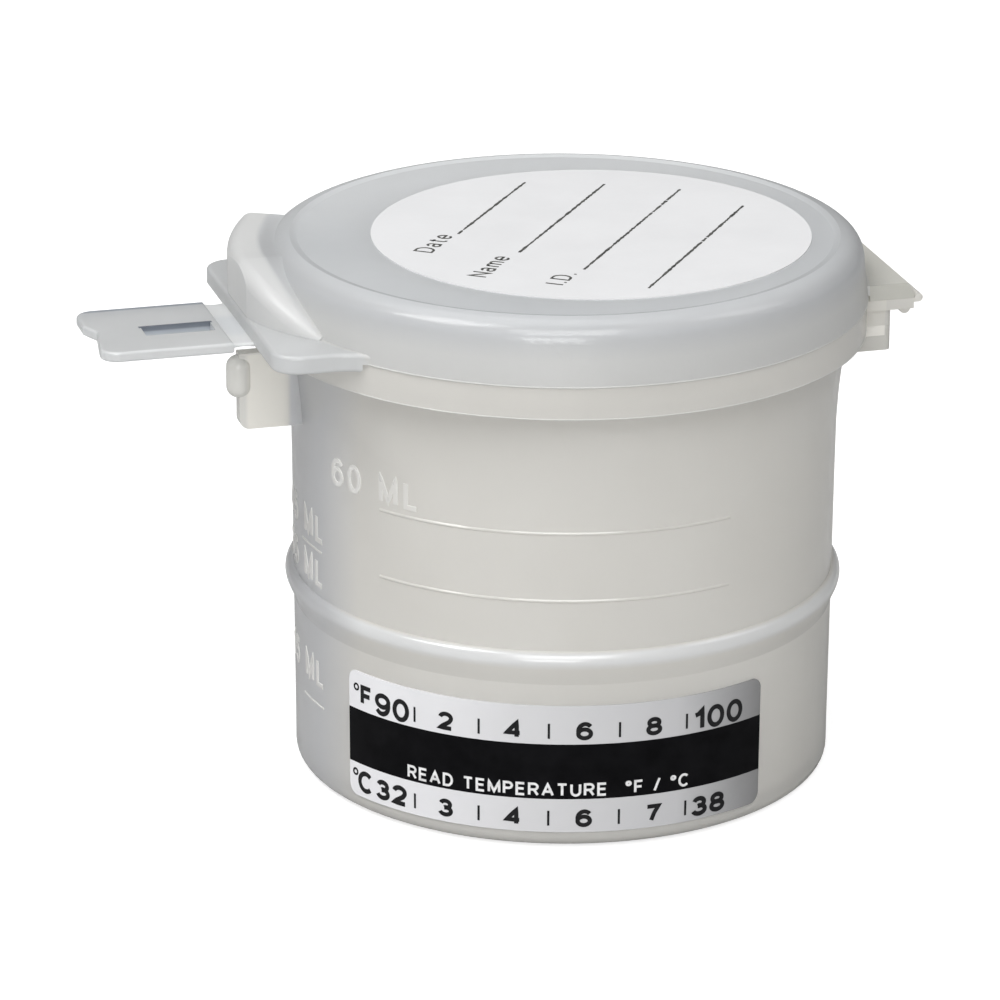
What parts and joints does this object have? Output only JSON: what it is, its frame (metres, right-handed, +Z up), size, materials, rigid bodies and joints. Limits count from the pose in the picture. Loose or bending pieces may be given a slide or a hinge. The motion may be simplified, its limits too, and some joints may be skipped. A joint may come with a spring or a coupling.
{
  "type": "specimen container",
  "caption": "Translucent plastic specimen container with a hinged snap lid, a fold-down lock tab, a round lid label and a thermometer strip on its wall.",
  "frame": {"origin": "centre of the flat base", "axes": "+Z up along the cup's axis, +X towards the lid's hinge, -X towards the lock tab"},
  "size_m": [0.0804, 0.0584, 0.0531],
  "materials": {
    "natural_plastic": "translucent satin moulding",
    "label_paper": "matt white label",
    "strip_film": "silvery film with a black band"
  },
  "bodies": {
    "container": {"container": "natural_plastic", "temperature_strip": "strip_film"},
    "lid": {"lid": "natural_plastic", "lid_label": "label_paper"},
    "lock_tab": {"lock_tab": "natural_plastic", "lock_tab_web": "natural_plastic"}
  },
  "joints": [
    {"name": "lid_hinge", "type": "hinge", "parent": "container", "child": "lid", "pos_m": [0.0331, 0, 0.04635], "axis": [0, 1, 0], "range_deg": [0, 180]},
    {"name": "lock_tab_fold", "type": "hinge", "parent": "lid", "child": "lock_tab", "pos_m": [-0.03345, 0, 0.0463], "axis": [0, -1, 0], "range_deg": [0, 90], "stiffness_Nm_per_rad": 0.004, "deforming": ["lock_tab_web"]}
  ]
}
